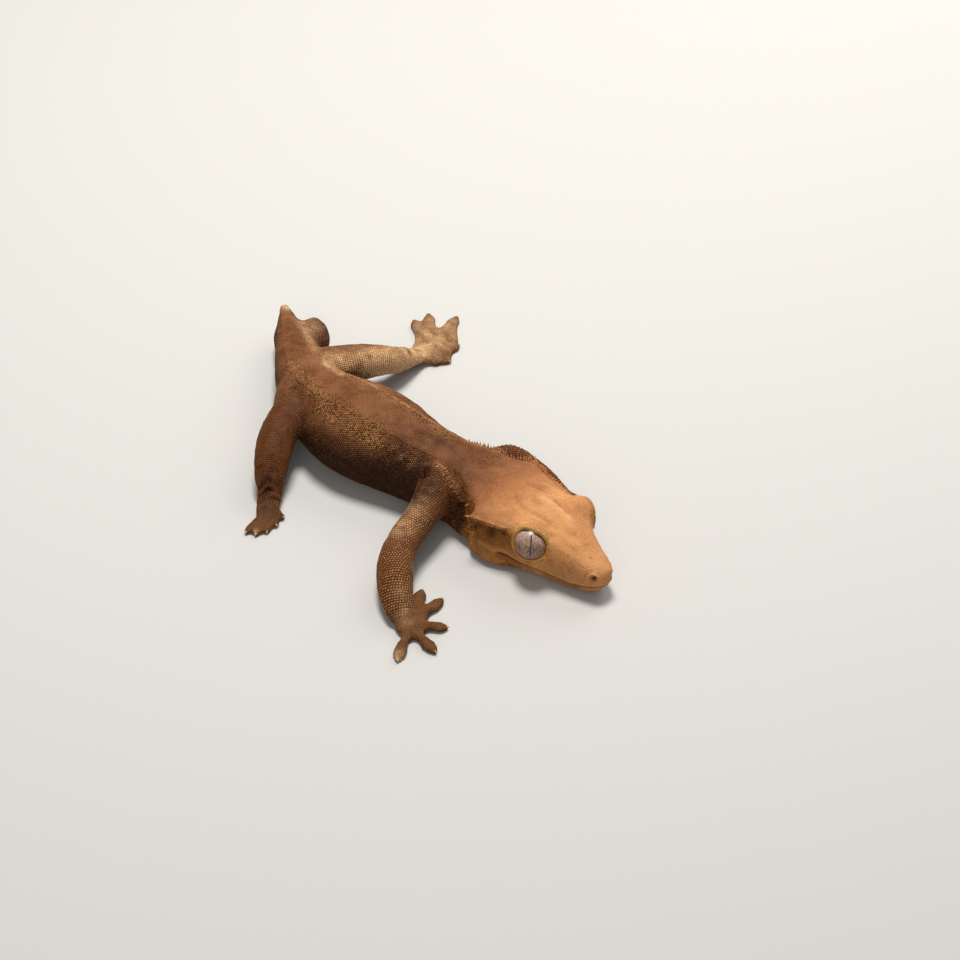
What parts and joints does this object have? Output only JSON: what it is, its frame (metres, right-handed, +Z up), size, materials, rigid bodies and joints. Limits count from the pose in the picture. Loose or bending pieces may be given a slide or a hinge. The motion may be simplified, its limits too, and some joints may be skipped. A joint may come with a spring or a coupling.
{
  "type": "gecko figure",
  "caption": "Life-size still model of an adult crested gecko without its tail, lying flat with its head low, its limbs spread and rows of small spines from its eyes down its back.",
  "frame": {"origin": "middle of the flat on which the belly rests, on the floor", "axes": "+Z up, the head points to -Y, the animal's left is +X"},
  "size_m": [0.0897, 0.1151, 0.0158],
  "materials": {
    "skin_head": "matte, finely scaled",
    "skin_body": "matte, finely scaled",
    "skin_limbs": "matte, with small raised scales",
    "skin_feet": "matte, soft",
    "eye": "wet gloss"
  },
  "bodies": {
    "root": {"head": "skin_head", "lower_jaw": "skin_head", "neck": "skin_body", "torso": "skin_body", "hips": "skin_body", "tail_stump": "skin_body", "upper_arm_left": "skin_limbs", "upper_arm_right": "skin_limbs", "forearm_left": "skin_limbs", "forearm_right": "skin_limbs", "thigh_left": "skin_limbs", "thigh_right": "skin_limbs", "shank_left": "skin_limbs", "shank_right": "skin_limbs", "hand_left": "skin_feet", "hand_right": "skin_feet", "foot_left": "skin_feet", "foot_right": "skin_feet", "eye_left": "eye", "eye_right": "eye"}
  },
  "joints": []
}
